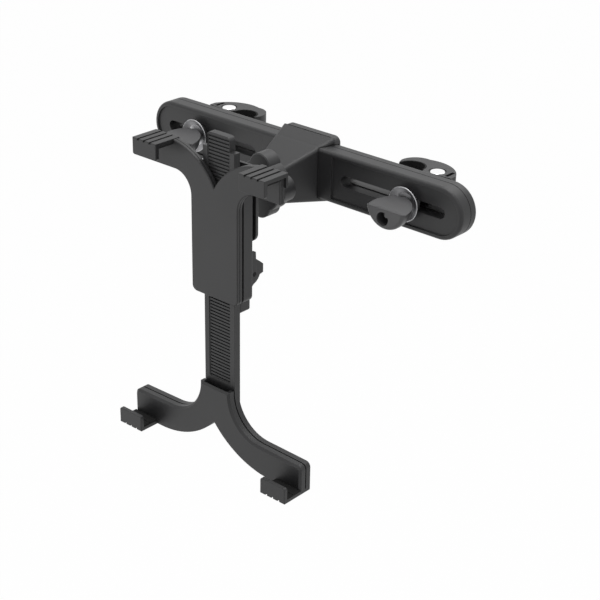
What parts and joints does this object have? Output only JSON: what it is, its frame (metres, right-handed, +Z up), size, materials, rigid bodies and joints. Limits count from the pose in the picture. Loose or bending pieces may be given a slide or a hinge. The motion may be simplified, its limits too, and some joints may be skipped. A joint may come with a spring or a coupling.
{
  "type": "headrest tablet mount",
  "caption": "Tablet holder for a car seat's headrest posts: slotted crossbar with clamps, ball joint, and a sliding Y-shaped holder with hooked arms",
  "frame": {"origin": "middle of the bracket cap's back face, in the middle of the crossbar", "axes": "+X along the crossbar, to the right as seen from the holder's front; +Y from the tablet towards the headrest; +Z up along the headrest posts"},
  "size_m": [0.2614, 0.1366, 0.2193],
  "materials": {
    "moulded_plastic": "black moulded plastic with a fine even grain",
    "knob_plastic": "black moulded plastic, slightly smoother than the body",
    "liner_plastic": "smooth black bearing plastic",
    "rubber_grip": "soft black rubber",
    "bright_steel": "bright turned and plated steel",
    "screw_steel": "plain zinc-plated screw steel"
  },
  "bodies": {
    "mount_base": {"crossbar_front_shell": "moulded_plastic", "crossbar_back_shell": "moulded_plastic", "crossbar_screws": "screw_steel", "bracket_cap": "moulded_plastic", "bracket_arm": "moulded_plastic", "bracket_screws": "screw_steel"},
    "ring_body": {"lock_ring": "moulded_plastic"},
    "liner_body": {"ball_liner": "liner_plastic"},
    "stud_body": {"ball_stud": "moulded_plastic", "turn_plate": "moulded_plastic", "pivot_washer": "bright_steel", "pivot_screw": "screw_steel"},
    "holder_body": {"holder_housing": "moulded_plastic", "holder_shell": "moulded_plastic", "holder_cover": "moulded_plastic", "holder_screws": "screw_steel", "top_hook_right": "moulded_plastic", "top_hook_left": "moulded_plastic", "top_pad_right": "rubber_grip", "top_pad_left": "rubber_grip", "lever_pin": "bright_steel"},
    "lower_body": {"tongue_plate": "moulded_plastic", "lower_cover": "moulded_plastic", "lower_screws": "screw_steel", "bottom_hook_right": "moulded_plastic", "bottom_hook_left": "moulded_plastic", "bottom_pad_right": "rubber_grip", "bottom_pad_left": "rubber_grip"},
    "lever_body": {"cam_lever": "moulded_plastic"},
    "button_body": {"release_button": "moulded_plastic"},
    "pawl_body": {"pawl": "moulded_plastic"},
    "guide_body_right": {"slot_guide_right": "moulded_plastic"},
    "knob_body_right": {"clamp_knob_right": "knob_plastic", "clamp_bolt_right": "screw_steel", "cup_washer_right": "bright_steel"},
    "jaw_body_right": {"clamp_jaw_right": "moulded_plastic", "claw_lining_right": "rubber_grip", "barrel_nut_right": "bright_steel"},
    "guide_body_left": {"slot_guide_left": "moulded_plastic"},
    "knob_body_left": {"clamp_knob_left": "knob_plastic", "clamp_bolt_left": "screw_steel", "cup_washer_left": "bright_steel"},
    "jaw_body_left": {"clamp_jaw_left": "moulded_plastic", "claw_lining_left": "rubber_grip", "barrel_nut_left": "bright_steel"}
  },
  "joints": [
    {"name": "ring_turn", "type": "hinge", "parent": "mount_base", "child": "ring_body", "pos_m": [0, -0.0465, -0.0034], "axis": [0, 1, 0], "range_deg": [-40, 40]},
    {"name": "ball_pan", "type": "hinge", "parent": "mount_base", "child": "liner_body", "pos_m": [0, -0.0465, -0.0034], "axis": [0, 0, 1], "range_deg": [-12, 12]},
    {"name": "ball_tilt", "type": "hinge", "parent": "liner_body", "child": "stud_body", "pos_m": [0, -0.0465, -0.0034], "axis": [1, 0, 0], "range_deg": [-12, 12]},
    {"name": "holder_roll", "type": "hinge", "parent": "stud_body", "child": "holder_body", "pos_m": [0, -0.0804, -0.0034], "axis": [0, 1, 0], "range_deg": [-90, 90]},
    {"name": "tongue_slide", "type": "slide", "parent": "holder_body", "child": "lower_body", "axis": [0, 0, 1], "range_m": [-0.06, 0.055]},
    {"name": "lever_swing", "type": "hinge", "parent": "holder_body", "child": "lever_body", "pos_m": [0, -0.0754, -0.0515], "axis": [1, 0, 0], "range_deg": [-80, 0]},
    {"name": "button_press", "type": "slide", "parent": "holder_body", "child": "button_body", "axis": [0, 0, 1], "range_m": [0, 0.002], "stiffness_N_per_m": 400},
    {"name": "pawl_lift", "type": "slide", "parent": "holder_body", "child": "pawl_body", "axis": [0, 1, 0], "range_m": [0, 0.0009]},
    {"name": "guide_slide_right", "type": "slide", "parent": "mount_base", "child": "guide_body_right", "axis": [1, 0, 0], "range_m": [-0.041, 0.0178]},
    {"name": "knob_turn_right", "type": "hinge", "parent": "guide_body_right", "child": "knob_body_right", "pos_m": [0.0891, -0.0282, 0], "axis": [0, 1, 0], "range_deg": [-720, 2880]},
    {"name": "jaw_draw_right", "type": "slide", "parent": "guide_body_right", "child": "jaw_body_right", "axis": [0, 1, 0], "range_m": [-0.008, 0.002]},
    {"name": "guide_slide_left", "type": "slide", "parent": "mount_base", "child": "guide_body_left", "axis": [1, 0, 0], "range_m": [-0.0178, 0.041]},
    {"name": "knob_turn_left", "type": "hinge", "parent": "guide_body_left", "child": "knob_body_left", "pos_m": [-0.0891, -0.0282, 0], "axis": [0, 1, 0], "range_deg": [-720, 2880]},
    {"name": "jaw_draw_left", "type": "slide", "parent": "guide_body_left", "child": "jaw_body_left", "axis": [0, 1, 0], "range_m": [-0.008, 0.002]}
  ],
  "couplings": [
    {"joint": "pawl_lift", "follows": "button_press", "ratio": 0.45},
    {"joint": "knob_turn_right", "follows": "jaw_draw_right", "rad_per_m": -6283.2},
    {"joint": "knob_turn_left", "follows": "jaw_draw_left", "rad_per_m": -6283.2}
  ]
}
